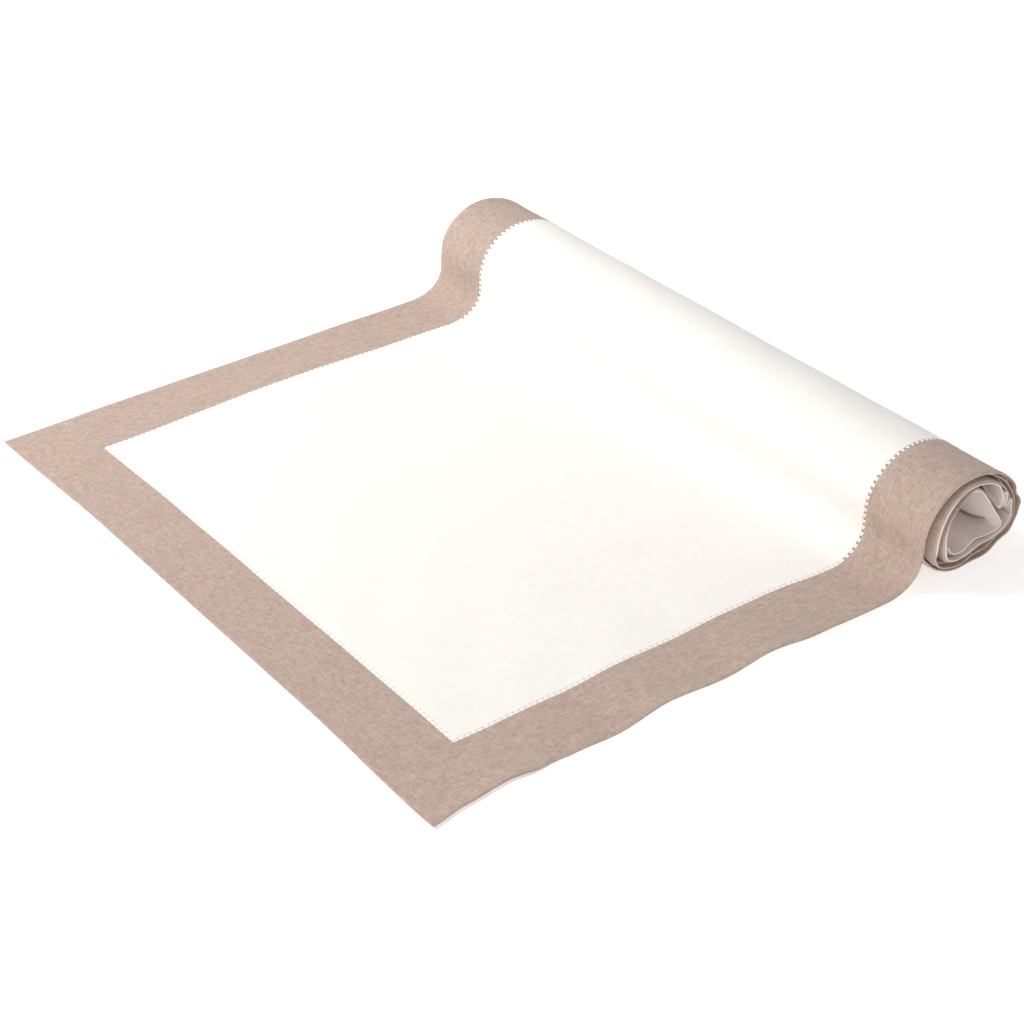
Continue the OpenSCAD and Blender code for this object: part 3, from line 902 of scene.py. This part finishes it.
for side in ("front", "back", "left", "right"):
    pieces[f"hemstitch_{side}"] = hemstitchRow(side)
for end in ("front", "back"):
    for side, way in (("left", -1), ("right", 1)):
        s = (3 * mm, border) if end == "front" else (length - 3 * mm, length - border)
        pieces[f"mitre_stitches_{end}_{side}"] = seamRow(
            f"mitre_{end}_{side}_thread", (way * (half - 3 * mm), way * (half - border)), s,
            cloth["thick"] - 0.1 * mm, stitching["mitrePitch"], 0.5, oatmealThread)
seamLevel, seamIn = cloth["liningThick"] + 0.12 * mm, 0.35 * mm
for side, way in (("left", -1), ("right", 1)):
    pieces[f"edge_stitches_{side}"] = seamRow(
        f"edge_{side}_thread", (way * (half - seamIn),) * 2, (6 * mm, length - 6 * mm), seamLevel,
        stitching["edgePitch"], 0.0, oatmealThread)
for end, s in (("front", seamIn), ("back", length - seamIn)):
    pieces[f"edge_stitches_{end}"] = seamRow(
        f"edge_{end}_thread", (6 * mm - half, half - 6 * mm), (s, s), seamLevel,
        stitching["edgePitch"], 0.0, oatmealThread)
print("stitches sewn")

for node, piece in pieces.items():
    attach(piece, "root")
    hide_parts(node)
print("pieces declared")

studio = {
    "cameraAzimuth": math.radians(52.38), "cameraPitch": math.radians(33.04),
    "cameraDistance": 1.1336, "lens": 75.66, "lookAt": (0.0265, -0.00665, 0.00176),
    "keyPlace": (-0.9, -0.45, 0.95), "keySize": 0.9, "keyPower": 20.0,
    "fillPlace": (1.3, -0.5, 0.35), "fillSize": 1.0, "fillPower": 6.5,
    "world": 0.45, "floor": "#F8F8F7", "tableGlow": 0.45, "floorReach": 4.0,
    "floorLevel": -0.15 * mm,  # a little low, so that it never shares a plane with the cloth
    "aim": (0.0, 0.05, 0.0),
}


def makeStudio():
    scene = bpy.context.scene
    scene.view_settings.view_transform = "Standard"
    target = np.array(studio["lookAt"])
    azimuth, pitch = studio["cameraAzimuth"], studio["cameraPitch"]
    back = np.array([math.sin(azimuth) * math.cos(pitch), -math.cos(azimuth) * math.cos(pitch),
                     math.sin(pitch)])
    camera = addObject("camera", bpy.data.cameras.new("camera"))
    camera.data.lens = studio["lens"]
    camera.location = target + back * studio["cameraDistance"]
    camera.rotation_euler = (math.pi / 2 - pitch, 0, azimuth)
    scene.camera = camera
    for name in ("key", "fill"):
        light = addObject(f"{name}Softbox", bpy.data.lights.new(name, "AREA"))
        light.data.size = studio[f"{name}Size"]
        light.data.energy = studio[f"{name}Power"]
        light.location = studio[f"{name}Place"]
        aim = np.array(studio["aim"]) - np.array(studio[f"{name}Place"])
        light.rotation_euler = (math.acos(-aim[2] / np.linalg.norm(aim)), 0,
                                math.atan2(aim[1], aim[0]) - math.pi / 2)
    world = bpy.data.worlds.new("studioWorld")
    world.use_nodes = True
    world.node_tree.nodes["Background"].inputs["Color"].default_value = (1, 1, 1, 1)
    world.node_tree.nodes["Background"].inputs["Strength"].default_value = studio["world"]
    scene.world = world
    floorMesh = bpy.data.meshes.new("floor")
    reach, level = studio["floorReach"], studio["floorLevel"]
    corners = [(-reach, -reach, level), (reach, -reach, level), (reach, reach, level),
               (-reach, reach, level)]
    floorMesh.from_pydata(corners, [], [(0, 1, 2, 3)])
    paint = bpy.data.materials.new("matteFloor")
    paint.use_nodes = True
    shader = paint.node_tree.nodes["Principled BSDF"]
    shader.inputs["Base Color"].default_value = linear(studio["floor"])
    shader.inputs["Roughness"].default_value = 0.95
    shader.inputs["Specular IOR Level"].default_value = 0.1
    shader.inputs["Emission Color"].default_value = (1, 1, 1, 1)
    shader.inputs["Emission Strength"].default_value = studio["tableGlow"]
    floorMesh.materials.append(paint)
    addObject("floor", floorMesh)


makeStudio()
print("studio ready")
